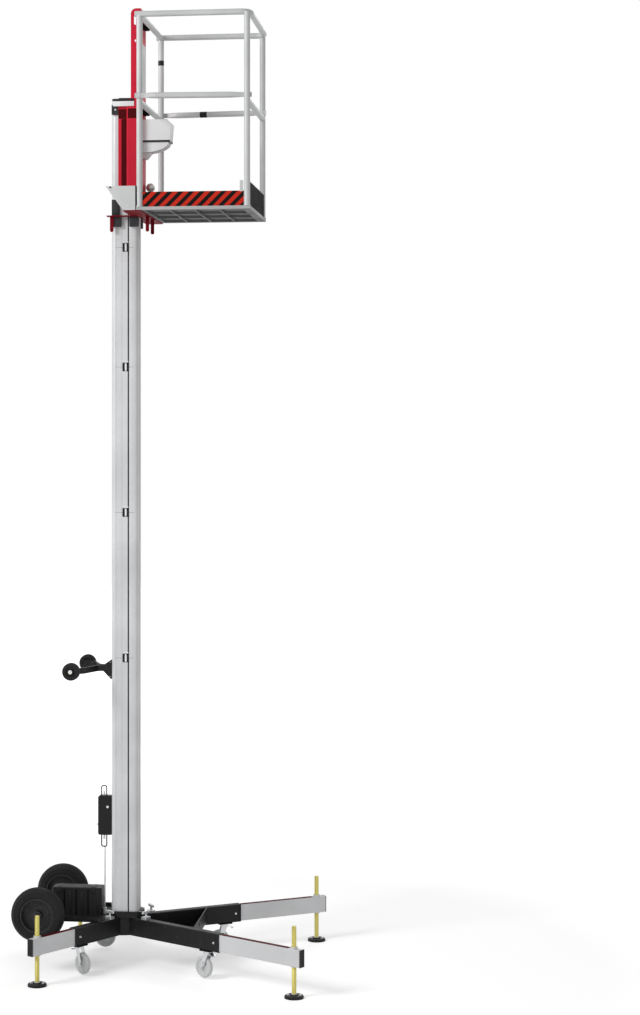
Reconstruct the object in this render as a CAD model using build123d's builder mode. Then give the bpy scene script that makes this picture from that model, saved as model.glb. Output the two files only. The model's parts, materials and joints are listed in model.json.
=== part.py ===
"""Vertical mast lift: a one-person guarded platform on a carriage that runs up a sectional
aluminium mast, standing on a steel cross frame with telescopic outriggers and screw jacks.

Millimetres. +X points from the mast to the platform and +Z up. The origin is on the floor,
under the middle of the whole machine.
"""

import os
from math import atan2, cos, degrees, radians, sin, tan

from build123d import *

os.makedirs("parts", exist_ok=True)

# Clearances
slide_gap = 0.5
guide_gap = 0.5
bearing_gap = 0.05
seat_gap = 0.3
end_gap = 1.0
thread_gap = 0.3

# Cross frame: four legs run out from one centre under the mast
cross_offset = -12.0
front_heading = 32.2
rear_heading = 122.7
hub_reach = 60.0
front_arm_reach = 733.0
rear_arm_reach = 428.0
arm_width = 50.0
arm_height = 104.0
arm_wall = 4.0
arm_corner = 6.0
arm_bottom = 168.0

# Outriggers slide in the arms, and a screw jack stands near the end of each
front_jack_reach = 1247.0
rear_jack_reach = 706.0
outrigger_overhang = 55.0
front_grip = 160.0
rear_grip = 130.0
outrigger_wall = 4.0
outrigger_corner = 3.0
outrigger_cap = 10.0

# Screw jacks
screw_radius = 13.5
screw_top = 390.0
screw_tip = 4.0
nut_radius = 19.0
sleeve_radius = 18.0
nut_above = 10.0
nut_below = 3.0
pad_radius = 53.0
pad_height = 16.0
pad_edge = 5.0
pad_hub_radius = 20.0
pad_hub_height = 4.0
pad_hole_radius = 4.5
pad_hole_spacing = 66.0

# Casters under the arms' outer ends, just off the floor while the jacks carry
front_caster_reach = 635.0
rear_caster_reach = 371.0
caster_radius = 60.0
caster_width = 26.0
caster_rim_radius = 40.0
caster_rim_edge = 4.0
caster_web_radius = 24.0
caster_hub_radius = 18.0
caster_dish = 5.0
caster_tread = 6.0
caster_floor_gap = 8.0
caster_trail = 30.0
caster_plate_length = 86.0
caster_plate_width = 62.0
caster_plate_sheet = 5.0
caster_plate_corner = 8.0
caster_head_radius = 22.0
caster_head_height = 9.0
caster_axle_radius = 5.0
caster_nut_radius = 8.0
caster_nut_height = 5.0
fork_gap = 4.0
fork_sheet = 3.0
fork_width = 34.0
fork_tip_radius = 12.0
caster_stud_radius = 7.0
pedal_reach = 34.0
pedal_drop = 16.0

# Front web, a folded sheet between the two front arms
web_front = 437.0
web_sheet = 6.0
web_floor = 172.0
web_bend = 24.0

# Mast: hollow aluminium sections clamped end to end
mast_depth = 157.0
mast_width = 117.0
mast_corner = 26.0
mast_wall = 5.0
mast_foot = 306.0
section_lengths = (1460.0, 838.0, 838.0, 689.0, 848.0)
groove_x = 22.0
groove_width = 8.0
groove_depth = 14.0
line_width = 3.0
line_depth = 1.5
line_places = (-50.0, -15.0, 49.0)
end_groove_width = 26.0
end_groove_depth = 3.0
middle_chamber_corner = 1.0
front_chamber_corner = 18.0
mast_cap_height = 8.0
mast_cap_boss = (84.0, 52.0, 10.0)
mast_cap_corner = 8.0
pedestal_length = 196.0
pedestal_width = 150.0
pedestal_corner = 22.0

# Latches that clamp one section to the next, in the side grooves
latch_x = 7.0
latch_length = 38.0
latch_height = 50.0
latch_proud = 1.5
latch_tongue = 10.0
latch_corner = 3.0

# Transport wheels and the battery tray at the back
axle_back = 445.0
axle_height = 338.0
axle_radius = 10.0
wheel_radius = 154.0
wheel_width = 92.0
wheel_side = 341.0
crown_half = 30.0
tread_drop = 6.0
shoulder_drop = 22.0
bead_rise = 8.0
rim_radius = 96.0
rim_width = 80.0
rim_lip = 7.0
rim_hub_radius = 26.0
rim_web = 10.0
axle_nut_radius = 15.0
axle_nut_length = 9.0
tray_front = 108.0
tray_back = 480.0
tray_width = 412.0
tray_sheet = 6.0
tray_lip = 26.0
bearer_top = 384.0
bearer_length = 96.0
bearer_chamfer = 24.0
bearer_sheet = 8.0
battery_front = 137.0
battery_back = 428.0
battery_width = 104.0
battery_height = 157.0
battery_corner = 10.0
rib_places = (-355.0, -285.0, -215.0)
rib_width = 10.0
rib_depth = 9.0
lid_height = 12.0
lid_corner = 4.0

# Loading rollers on the back of the mast
roller_back = 275.0
roller_height = 1703.0
roller_radius = 50.0
roller_width = 40.0
roller_inner = 224.0
roller_edge = 8.0
roller_dish_radius = 30.0
roller_boss_radius = 15.0
roller_dish = 6.0
roller_axle_radius = 7.0
roller_bolt_radius = 13.0
roller_bolt_length = 8.0
yoke_bar = 12.0
yoke_depth = 34.0
yoke_root = 26.0
yoke_side = 205.0
yoke_start = 110.0
yoke_turn = 160.0
yoke_spread = 225.0
yoke_end = 295.0
yoke_bend = 48.0
yoke_boss_radius = 12.0
yoke_plate = 8.0
yoke_plate_low = 1641.0
yoke_plate_high = 1751.0
yoke_plate_width = 88.0
yoke_plate_corner = 10.0
yoke_nose = 130.0

# Line tensioner on the back of the mast, and the line down to its anchor
tensioner_length = 84.0
tensioner_width = 46.0
tensioner_low = 737.0
tensioner_high = 964.0
tensioner_corner = 12.0
loop_wire = 3.5
loop_back = 145.5
loop_front = 115.5
loop_low = 664.0
loop_high = 1022.0
loop_bend = 10.0
line_back = 126.0
line_radius = 4.0
anchor_size = 20.0
anchor_corner = 4.0
anchor_height = 34.0

# Wing clamps at the mast's foot, on the tops of the four arms
front_clamp_reach = 168.0
rear_clamp_reach = 122.0
clamp_stud_radius = 6.0
clamp_stud_height = 46.0
clamp_block = (34.0, 46.0, 14.0)
clamp_block_corner = 3.0
clamp_wing = (14.0, 64.0, 12.0)
clamp_wing_corner = 5.0

# Carriage: a folded channel round the front and sides of the mast. Its heights are measured
# up from the deck's underside, and its holes down from its top
deck_drop = 668.0
carriage_sheet = 5.0
web_face = 100.0
channel_ledge = 20.0
channel_step = 20.0
flange_half = 70.0
flange_back = -35.0
channel_bend = 6.0
wide_low_rise = 169.0
wide_high_rise = 674.0
upright_back = 42.0
upright_rise = 1189.0
upright_corner = 30.0
lug_hole_radius = 14.0
lug_hole_drop = 48.0
window_length = 58.0
window_width = 24.0
window_drop = 66.0
pin_hole_radius = 8.0
pin_hole_drop = 185.0
hole_x = 72.0
shoe_height = 56.0
upper_shoe_rise = 584.0
front_shoe_rise = 9.0
front_shoe_half = 40.0
shoe_back = -74.0
shoe_front = -20.0
foot_shoe_depth = 52.0
foot_shoe_places = (-44.0, 58.0)
foot_shoe_side = 83.0

# Foot plate of the carriage, below the platform, with four hanging guide fingers
foot_sheet = 6.0
foot_back = -97.0
foot_arm_half = 104.0
foot_wing_back = 50.0
foot_wing_front = 150.0
foot_notch = 84.0
finger_length = 88.0
finger_width = 20.0
finger_sheet = 6.0
finger_half = 87.0
rear_finger_x = -70.0
front_finger_x = 138.0

# Platform deck and its guard rails
deck_height = 18.0
deck_sheet = 4.0
deck_front = 768.0
deck_back = 125.0
deck_half = 385.0
deck_rim = 45.0
deck_rib = 10.0
deck_pockets = (4, 3)
tread_half = 365.0
tread_height = 2.0
post_back = 142.0
post_front = 750.0
post_half = 370.0
tube_radius = 17.0
tube_wall = 2.5
rail_height = 1100.0
rail_front = 764.0
rail_bend = 52.0
rail_tail = 116.0
mid_height = 640.0
mid_drop = 32.0
mid_flat = 5.0
mid_flat_height = 28.0
mid_flat_length = 58.0
mid_taper = 60.0
mid_start = 118.0
mid_end = 775.0
mid_clear = 1.0
board_sheet = 5.0
side_board_height = 84.0
end_board_height = 136.0
front_board_inset = 10.0
front_board_half = 335.0
gusset_sheet = 4.0
gusset_back = -50.0
gusset_foot = 50.0
rail_clamp_half = 28.0
rail_clamp_height = 44.0
rail_clamp_front = 132.0
rail_clamp_corner = 4.0

# Control box on the carriage, and the knob on the toe board at the mast
box_front_low = 262.0
box_front = 270.0
box_half = 55.0
box_rise = 425.0
box_height = 131.0
box_shoulder_drop = 26.0
box_bevel = 24.0
box_corner = 6.0
belly_back = 112.0
belly_front = 254.0
belly_drop = 58.0
neck_drop = 35.0
neck_tip = 120.0
neck_front = 150.0
neck_half = 34.0
knob_radius = 26.0
knob_x = 128.0
knob_y = 80.0
knob_rise = 177.0
knob_stem_radius = 8.0

# Sizes that follow
quarter_turn = 90.0
outrigger_height = arm_height - 2 * arm_wall - 2 * slide_gap
outrigger_width = arm_width - 2 * arm_wall - 2 * slide_gap
arm_top = arm_bottom + arm_height
arm_middle = arm_bottom + arm_height / 2
outrigger_bottom = arm_middle - outrigger_height / 2
nut_bottom = outrigger_bottom - nut_below
nut_length = nut_below + outrigger_height + nut_above
mast_half = mast_width / 2
mast_face = mast_depth / 2
mast_levels = [mast_foot]
for length in section_lengths:
    mast_levels.append(mast_levels[-1] + length)
mast_top = mast_levels[-1]

# The carriage hangs below the mast's top, and everything on it follows the deck's underside
deck_low = mast_top - deck_drop
deck_top = deck_low + deck_height
channel_half = flange_half + channel_ledge
wide_low = deck_low + wide_low_rise
wide_high = deck_low + wide_high_rise
upright_high = deck_low + upright_rise
upper_shoe_low = deck_low + upper_shoe_rise
front_shoe_low = deck_low + front_shoe_rise
box_low = deck_low + box_rise
box_high = box_low + box_height
belly_low = box_low - belly_drop
knob_height = deck_low + knob_rise

# The middle of the whole machine is the origin, and the mast stands behind it
front_extent = (
    cross_offset
    + (front_jack_reach + outrigger_overhang) * cos(radians(front_heading))
    + outrigger_width / 2 * sin(radians(front_heading))
)
rear_extent = axle_back + wheel_radius
mast_x = -(front_extent - rear_extent) / 2
cross_x = mast_x + cross_offset

# Reaches of the arm's end, caster and jack, and the length of tube held in the arm
front_reaches = (front_arm_reach, front_caster_reach, front_jack_reach, front_grip)
rear_reaches = (rear_arm_reach, rear_caster_reach, rear_jack_reach, rear_grip)

# name, heading and caster's trail in degrees, and the reaches
legs = (
    ("front_near", -front_heading, 145.0, front_reaches),
    ("front_far", front_heading, -160.0, front_reaches),
    ("rear_near", -rear_heading, -40.0, rear_reaches),
    ("rear_far", rear_heading, 20.0, rear_reaches),
)
sides = (("near", -1), ("far", 1))


def leg_point(heading, reach, height):
    """A point on a leg's middle line."""
    a = radians(heading)
    return (cross_x + reach * cos(a), reach * sin(a), height)


def level(heading, reach, height):
    """A level plane on a leg, its X running outwards."""
    a = radians(heading)
    return Plane(leg_point(heading, reach, height), x_dir=(cos(a), sin(a), 0), z_dir=(0, 0, 1))


def facing(x, y, height, turn):
    """An upright plane with its Y up, its normal turned from +X."""
    a = radians(turn)
    return Plane((x, y, height), x_dir=(-sin(a), cos(a), 0), z_dir=(cos(a), sin(a), 0))


def square(heading, reach, height):
    """An upright plane that cuts a leg square, its normal running outwards."""
    return facing(*leg_point(heading, reach, height), heading)


def upright(x, y, height, turn=0.0):
    """An upright plane with its Y up, its X turned from +X, facing the near side at no turn."""
    a = radians(turn)
    return Plane((x, y, height), x_dir=(cos(a), sin(a), 0), z_dir=(sin(a), -cos(a), 0))


def save(builder, name):
    """Label a finished piece and write it."""
    builder.part.label = name
    export_step(builder.part, f"parts/{name}.step")


# Hub of the cross frame, with the pedestal under the mast and the folded front web
hub_corners = []
for heading in (-rear_heading, -front_heading, front_heading, rear_heading):
    a = radians(heading)
    for edge in (-arm_width / 2, arm_width / 2):
        hub_corners.append((hub_reach * cos(a) - edge * sin(a), hub_reach * sin(a) + edge * cos(a)))

inner_edge = arm_width / 2 / cos(radians(front_heading))
slope = tan(radians(front_heading))
web_near = inner_edge / slope + web_sheet
web_far = web_front - cross_offset

with BuildPart() as base_hub:
    with BuildSketch(upright(cross_x, 0, 0)):
        with BuildLine():
            FilletPolyline(
                (web_near, web_floor + web_sheet / 2),
                (web_far - web_sheet / 2, web_floor + web_sheet / 2),
                (web_far - web_sheet / 2, arm_top),
                radius=web_bend,
            )
        trace(line_width=web_sheet)
    extrude(amount=web_far, both=True)
    with BuildSketch(Plane((cross_x, 0, arm_bottom))):
        with BuildLine():
            Polyline(
                (web_near, slope * web_near - inner_edge),
                (web_far, slope * web_far - inner_edge),
                (web_far, inner_edge - slope * web_far),
                (web_near, inner_edge - slope * web_near),
                close=True,
            )
        make_face()
    extrude(amount=arm_height, mode=Mode.INTERSECT)
    with BuildSketch(Plane((cross_x, 0, arm_bottom))):
        Polygon(*hub_corners, align=None)
    extrude(amount=arm_height)
    with BuildSketch(Plane((mast_x, 0, arm_top))):
        Rectangle(pedestal_length, pedestal_width)
        chamfer(vertices(), pedestal_corner)
    extrude(amount=mast_foot - arm_top)
save(base_hub, "base_hub")

# Arms: four steel tubes, open at their outer ends
with BuildPart() as base_arms:
    for name, heading, trail, (arm_reach, caster_reach, jack_reach, grip) in legs:
        with BuildSketch(square(heading, hub_reach, arm_middle)):
            RectangleRounded(arm_width, arm_height, arm_corner)
            RectangleRounded(
                arm_width - 2 * arm_wall,
                arm_height - 2 * arm_wall,
                arm_corner - arm_wall,
                mode=Mode.SUBTRACT,
            )
        extrude(amount=arm_reach - hub_reach)
save(base_arms, "base_arms")

# Plates that hold the casters under the arms
with BuildPart() as caster_plates:
    for name, heading, trail, (arm_reach, caster_reach, jack_reach, grip) in legs:
        with BuildSketch(level(heading, caster_reach, arm_bottom - caster_plate_sheet)):
            RectangleRounded(caster_plate_length, caster_plate_width, caster_plate_corner)
            Circle(caster_stud_radius + bearing_gap, mode=Mode.SUBTRACT)
        extrude(amount=caster_plate_sheet)
save(caster_plates, "caster_plates")

# Outriggers, screw jacks and casters, one set for each leg
axle_z = caster_floor_gap + caster_radius
head_top = arm_bottom - caster_plate_sheet - seat_gap
fork_top = head_top - caster_head_height
fork_half = caster_width / 2 + fork_gap
caster_tread_radius = caster_radius - caster_tread
caster_half = caster_width / 2
dish_half = caster_half - caster_dish
for name, heading, trail, (arm_reach, caster_reach, jack_reach, grip) in legs:
    tube_start = arm_reach - grip
    tube_end = jack_reach + outrigger_overhang
    with BuildPart() as outrigger:
        with BuildSketch(square(heading, tube_start, arm_middle)):
            RectangleRounded(outrigger_width, outrigger_height, outrigger_corner)
        extrude(amount=tube_end - tube_start)
        with BuildSketch(level(heading, jack_reach, nut_bottom)):
            Circle(nut_radius)
        extrude(amount=nut_length)
        with BuildSketch(square(heading, tube_start, arm_middle)):
            Rectangle(outrigger_width - 2 * outrigger_wall, outrigger_height - 2 * outrigger_wall)
        extrude(amount=tube_end - tube_start - outrigger_cap, mode=Mode.SUBTRACT)
        with BuildSketch(level(heading, jack_reach, outrigger_bottom)):
            Circle(sleeve_radius)
        extrude(amount=outrigger_height)
        with BuildSketch(level(heading, jack_reach, nut_bottom)):
            Circle(screw_radius + thread_gap)
        extrude(amount=nut_length, mode=Mode.SUBTRACT)
    save(outrigger, f"outrigger_{name}")

    with BuildPart() as screw:
        with BuildSketch(level(heading, jack_reach, pad_height + pad_hub_height)):
            Circle(screw_radius)
        extrude(amount=screw_top - pad_height - pad_hub_height)
        chamfer(screw.edges().sort_by(Axis.Z)[-1], screw_tip)
    save(screw, f"jack_screw_{name}")

    with BuildPart() as pad:
        with BuildSketch(level(heading, jack_reach, 0)):
            Circle(pad_radius)
        extrude(amount=pad_height)
        chamfer(pad.edges().sort_by(Axis.Z)[-1], pad_edge)
        with BuildSketch(level(heading, jack_reach, pad_height)):
            Circle(pad_hub_radius)
        extrude(amount=pad_hub_height)
        with BuildSketch(Plane(leg_point(heading, jack_reach, 0))):
            with GridLocations(pad_hole_spacing, 0, 2, 1):
                Circle(pad_hole_radius)
        extrude(amount=pad_height, mode=Mode.SUBTRACT)
    save(pad, f"jack_pad_{name}")

    swivel_x, swivel_y, _ = leg_point(heading, caster_reach, 0)
    wheel_plane = upright(swivel_x, swivel_y, 0, trail)
    head_plane = Plane((swivel_x, swivel_y, 0), x_dir=wheel_plane.x_dir, z_dir=(0, 0, 1))
    with BuildPart() as fork:
        for side in (-1, 1):
            with BuildSketch(wheel_plane.offset(side * fork_half)):
                Polygon(
                    (-fork_width / 2, fork_top),
                    (caster_trail - fork_tip_radius, axle_z),
                    (caster_trail + fork_tip_radius, axle_z),
                    (fork_width / 2, fork_top),
                    align=None,
                )
                with Locations((caster_trail, axle_z)):
                    Circle(fork_tip_radius)
            extrude(amount=side * fork_sheet)
        with BuildSketch(wheel_plane):
            with BuildLine():
                Polyline(
                    (fork_width / 2, fork_top - fork_sheet / 2),
                    (-fork_width / 2, fork_top - fork_sheet / 2),
                    (-fork_width / 2 - pedal_reach, fork_top - fork_sheet / 2 - pedal_drop),
                )
            trace(line_width=fork_sheet)
        extrude(amount=fork_half, both=True)
        with BuildSketch(head_plane.offset(fork_top)):
            Circle(caster_head_radius)
        extrude(amount=caster_head_height)
        with BuildSketch(head_plane.offset(head_top)):
            Circle(caster_stud_radius)
        extrude(amount=caster_plate_sheet)
        with BuildSketch(wheel_plane):
            with Locations((caster_trail, axle_z)):
                Circle(caster_axle_radius)
        extrude(amount=fork_half + fork_sheet, both=True)
        for side in (-1, 1):
            with BuildSketch(wheel_plane.offset(side * (fork_half + fork_sheet))):
                with Locations((caster_trail, axle_z)):
                    RegularPolygon(caster_nut_radius, 6)
            extrude(amount=side * caster_nut_height)
    save(fork, f"caster_fork_{name}")

    wheel_centre = wheel_plane.from_local_coords((caster_trail, axle_z, 0))
    with BuildPart() as caster:
        with BuildSketch(Plane(wheel_centre, x_dir=(0, 0, 1), z_dir=wheel_plane.x_dir)):
            with BuildLine():
                Polyline(
                    (caster_axle_radius + bearing_gap, -caster_half),
                    (caster_hub_radius, -caster_half),
                    (caster_web_radius, -dish_half),
                    (caster_rim_radius, -dish_half),
                    (caster_rim_radius + caster_rim_edge, -caster_half),
                    (caster_tread_radius, -caster_half),
                )
                ThreePointArc(
                    (caster_tread_radius, -caster_half),
                    (caster_radius, 0),
                    (caster_tread_radius, caster_half),
                )
                Polyline(
                    (caster_tread_radius, caster_half),
                    (caster_rim_radius + caster_rim_edge, caster_half),
                    (caster_rim_radius, dish_half),
                    (caster_web_radius, dish_half),
                    (caster_hub_radius, caster_half),
                    (caster_axle_radius + bearing_gap, caster_half),
                    (caster_axle_radius + bearing_gap, -caster_half),
                )
            make_face()
        revolve(axis=Axis(wheel_centre, wheel_plane.z_dir))
    save(caster, f"caster_wheel_{name}")

# Mast sections, each an extrusion with side grooves, end grooves and three chambers
chamber_half = mast_half - line_depth - mast_wall
chamber_end = mast_face - end_groove_depth - mast_wall
groove_low = groove_x - groove_width / 2
groove_high = groove_x + groove_width / 2
for number, (low, high) in enumerate(zip(mast_levels, mast_levels[1:]), start=1):
    with BuildPart() as mast_section:
        with BuildSketch(Plane((mast_x, 0, low))):
            RectangleRounded(mast_depth, mast_width, mast_corner)
            for side in (-1, 1):
                with Locations((groove_x, side * (mast_half - groove_depth / 2))):
                    Rectangle(groove_width, groove_depth, mode=Mode.SUBTRACT)
                with Locations(*[(x, side * (mast_half - line_depth / 2)) for x in line_places]):
                    Rectangle(line_width, line_depth, mode=Mode.SUBTRACT)
                with Locations((side * (mast_face - end_groove_depth / 2), 0)):
                    Rectangle(end_groove_depth, end_groove_width, mode=Mode.SUBTRACT)
            for start, end, half, corner in (
                (-chamber_end, groove_low - mast_wall, chamber_half, mast_corner - mast_wall),
                (groove_low, groove_high, mast_half - groove_depth - mast_wall, middle_chamber_corner),
                (groove_high + mast_wall, chamber_end, chamber_half, front_chamber_corner),
            ):
                with Locations(((start + end) / 2, 0)):
                    RectangleRounded(end - start, 2 * half, corner, mode=Mode.SUBTRACT)
        extrude(amount=high - low)
    save(mast_section, f"mast_section_{number}")

with BuildPart() as mast_cap:
    with BuildSketch(Plane((mast_x, 0, mast_top))):
        RectangleRounded(mast_depth, mast_width, mast_corner)
    extrude(amount=mast_cap_height)
    with BuildSketch(Plane((mast_x, 0, mast_top + mast_cap_height))):
        RectangleRounded(mast_cap_boss[0], mast_cap_boss[1], mast_cap_corner)
    extrude(amount=mast_cap_boss[2])
save(mast_cap, "mast_cap")

with BuildPart() as joint_latches:
    for joint in mast_levels[1:-1]:
        for side in (-1, 1):
            with BuildSketch(upright(mast_x + latch_x, side * mast_half, joint)):
                RectangleRounded(latch_length, latch_height, latch_corner)
            extrude(amount=-side * latch_proud)
            with BuildSketch(upright(mast_x + groove_x, side * mast_half, joint)):
                Rectangle(groove_width, latch_height)
            extrude(amount=side * latch_tongue)
save(joint_latches, "joint_latches")

# Battery tray on the rear arms, with the bearers of the wheel axle
tray_half = tray_width / 2
with BuildPart() as rear_cradle:
    with BuildSketch(Plane((mast_x - (tray_front + tray_back) / 2, 0, arm_top))):
        Rectangle(tray_back - tray_front, tray_width)
    extrude(amount=tray_lip)
    with BuildSketch(Plane((mast_x - (tray_front + tray_back) / 2, 0, arm_top + tray_sheet))):
        Rectangle(tray_back - tray_front, tray_width - 2 * tray_sheet)
    extrude(amount=tray_lip, mode=Mode.SUBTRACT)
    for side in (-1, 1):
        with BuildSketch(upright(mast_x, side * tray_half, 0)):
            with Locations((-axle_back, (arm_top + bearer_top) / 2)):
                Rectangle(bearer_length, bearer_top - arm_top)
                chamfer(vertices().group_by(Axis.Y)[-1], bearer_chamfer)
            with Locations((-axle_back, axle_height)):
                Circle(axle_radius + bearing_gap, mode=Mode.SUBTRACT)
        extrude(amount=-side * bearer_sheet)
save(rear_cradle, "rear_cradle")

battery_low = arm_top + tray_sheet
with BuildPart() as battery_box:
    with BuildSketch(Plane((mast_x, 0, battery_low))):
        with Locations((-(battery_front + battery_back) / 2, 0)):
            RectangleRounded(battery_back - battery_front, battery_width, battery_corner)
        for x in rib_places:
            with Locations(*[(x, side * (battery_width - rib_depth) / 2) for side in (-1, 1)]):
                Rectangle(rib_width, rib_depth, mode=Mode.SUBTRACT)
    extrude(amount=battery_height - lid_height)
    with BuildSketch(Plane((mast_x, 0, battery_low + battery_height - lid_height))):
        with Locations((-(battery_front + battery_back) / 2, 0)):
            RectangleRounded(battery_back - battery_front, battery_width, battery_corner)
    extrude(amount=lid_height)
    chamfer(battery_box.faces().sort_by(Axis.Z)[-1].edges(), lid_corner)
save(battery_box, "battery_box")

# Axle of the transport wheels, with a nut outside each wheel and a collar inside it
with BuildPart() as wheel_axle:
    axle_plane = upright(mast_x - axle_back, 0, axle_height)
    hub_in = wheel_side - rim_width / 2 - end_gap
    hub_out = wheel_side + rim_width / 2 + end_gap
    with BuildSketch(axle_plane):
        Circle(axle_radius)
    extrude(amount=hub_out, both=True)
    for side in (-1, 1):
        for start in (hub_in - axle_nut_length, hub_out):
            with BuildSketch(axle_plane.offset(side * start)):
                Circle(axle_nut_radius)
            extrude(amount=side * axle_nut_length)
save(wheel_axle, "wheel_axle")

tread_radius = wheel_radius - tread_drop
shoulder_radius = wheel_radius - shoulder_drop
bead_radius = rim_radius + bead_rise
for name, side in sides:
    wheel_plane = upright(mast_x - axle_back, side * wheel_side, axle_height)
    turn_plane = Plane(wheel_plane.origin, x_dir=(0, 0, 1), z_dir=(1, 0, 0))
    with BuildPart() as tyre:
        with BuildSketch(turn_plane):
            with BuildLine():
                Polyline(
                    (tread_radius, -crown_half),
                    (shoulder_radius, -wheel_width / 2),
                    (bead_radius, -wheel_width / 2),
                    (rim_radius, -rim_width / 2),
                    (rim_radius, rim_width / 2),
                    (bead_radius, wheel_width / 2),
                    (shoulder_radius, wheel_width / 2),
                    (tread_radius, crown_half),
                )
                ThreePointArc((tread_radius, crown_half), (wheel_radius, 0), (tread_radius, -crown_half))
            make_face()
        revolve(axis=Axis(wheel_plane.origin, (0, 1, 0)))
    save(tyre, f"transport_tyre_{name}")

    with BuildPart() as rim:
        with BuildSketch(turn_plane):
            with Locations(((rim_radius + axle_radius + bearing_gap) / 2, 0)):
                Rectangle(rim_radius - axle_radius - bearing_gap, rim_web)
            with Locations((rim_radius - rim_lip / 2, 0)):
                Rectangle(rim_lip, rim_width)
            with Locations(((rim_hub_radius + axle_radius + bearing_gap) / 2, 0)):
                Rectangle(rim_hub_radius - axle_radius - bearing_gap, rim_width)
        revolve(axis=Axis(wheel_plane.origin, (0, 1, 0)))
    save(rim, f"transport_rim_{name}")

# Yoke of the loading rollers, two bent bars from a flared plate
root_x = mast_x - mast_face - yoke_plate
boss_in = yoke_side + yoke_bar / 2
roller_outer = roller_inner + roller_width
with BuildPart() as roller_yoke:
    with BuildSketch(Plane((mast_x, 0, roller_height - yoke_depth / 2))):
        for side in (-1, 1):
            with BuildLine():
                FilletPolyline(
                    (-yoke_start, side * yoke_root),
                    (-yoke_turn, side * yoke_root),
                    (-yoke_spread, side * yoke_side),
                    (-yoke_end, side * yoke_side),
                    radius=yoke_bend,
                )
            trace(line_width=yoke_bar)
    extrude(amount=yoke_depth)
    with BuildSketch(upright(0, 0, 0)):
        Polygon(
            (root_x, yoke_plate_low),
            (mast_x - yoke_nose, roller_height - yoke_depth / 2),
            (mast_x - yoke_nose, roller_height + yoke_depth / 2),
            (root_x, yoke_plate_high),
            align=None,
        )
    extrude(amount=yoke_root + yoke_bar / 2, both=True)
    with BuildSketch(facing(root_x, 0, (yoke_plate_low + yoke_plate_high) / 2, 0)):
        RectangleRounded(yoke_plate_width, yoke_plate_high - yoke_plate_low, yoke_plate_corner)
    extrude(amount=yoke_plate)
    for side in (-1, 1):
        boss_plane = upright(mast_x - roller_back, side * boss_in, roller_height)
        with BuildSketch(boss_plane):
            Circle(yoke_boss_radius)
        extrude(amount=-side * (roller_inner - end_gap - boss_in))
        with BuildSketch(boss_plane):
            Circle(roller_axle_radius)
        extrude(amount=-side * (roller_outer + end_gap - boss_in))
        with BuildSketch(boss_plane.offset(-side * (roller_outer + end_gap - boss_in))):
            Circle(roller_bolt_radius)
        extrude(amount=-side * roller_bolt_length)
save(roller_yoke, "roller_yoke")

for name, side in sides:
    roller_plane = upright(mast_x - roller_back, side * roller_inner, roller_height)
    with BuildPart() as roller:
        with BuildSketch(roller_plane):
            Circle(roller_radius)
        extrude(amount=-side * roller_width)
        fillet(roller.edges(), roller_edge)
        for start, away in ((0, 1), (roller_width, -1)):
            with BuildSketch(roller_plane.offset(-side * start)):
                Circle(roller_dish_radius)
                Circle(roller_boss_radius, mode=Mode.SUBTRACT)
            extrude(amount=-side * away * roller_dish, mode=Mode.SUBTRACT)
        with BuildSketch(roller_plane):
            Circle(roller_axle_radius + bearing_gap)
        extrude(amount=-side * roller_width, mode=Mode.SUBTRACT)
    save(roller, f"loading_roller_{name}")

# Line tensioner, a case with a long wire loop at each end
tensioner_x = mast_x - mast_face - tensioner_length / 2
tensioner_z = (tensioner_low + tensioner_high) / 2
with BuildPart() as line_tensioner:
    with BuildSketch(upright(tensioner_x, 0, tensioner_z)):
        RectangleRounded(tensioner_length, tensioner_high - tensioner_low, tensioner_corner)
    extrude(amount=tensioner_width / 2, both=True)
    for base, tip in ((tensioner_low, loop_low + loop_wire), (tensioner_high, loop_high - loop_wire)):
        with BuildLine(upright(mast_x, 0, 0)) as loop_path:
            FilletPolyline(
                (-loop_back, base),
                (-loop_back, tip),
                (-loop_front, tip),
                (-loop_front, base),
                radius=loop_bend,
            )
        with BuildSketch(Plane((mast_x - loop_back, 0, base))):
            Circle(loop_wire)
        sweep(path=loop_path.wire())
save(line_tensioner, "line_tensioner")

anchor_top = battery_low + anchor_height
with BuildPart() as tension_line:
    with BuildSketch(Plane((mast_x - line_back, 0, battery_low))):
        RectangleRounded(anchor_size, anchor_size, anchor_corner)
    extrude(amount=anchor_height)
    with BuildSketch(Plane((mast_x - line_back, 0, anchor_top))):
        Circle(line_radius)
    extrude(amount=loop_low - anchor_top)
save(tension_line, "tension_line")

# Wing clamps round the mast's foot
with BuildPart() as foot_clamps:
    for name, heading, trail, reaches in legs:
        clamp_reach = front_clamp_reach if reaches is front_reaches else rear_clamp_reach
        with BuildSketch(level(heading, clamp_reach, arm_top)):
            RectangleRounded(clamp_block[0], clamp_block[1], clamp_block_corner)
        extrude(amount=clamp_block[2])
        with BuildSketch(level(heading, clamp_reach, arm_top)):
            Circle(clamp_stud_radius)
        extrude(amount=clamp_stud_height)
        with BuildSketch(level(heading, clamp_reach, arm_top + clamp_stud_height - clamp_wing[2])):
            RectangleRounded(clamp_wing[0], clamp_wing[1], clamp_wing_corner)
        extrude(amount=clamp_wing[2])
save(foot_clamps, "foot_clamps")

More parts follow.
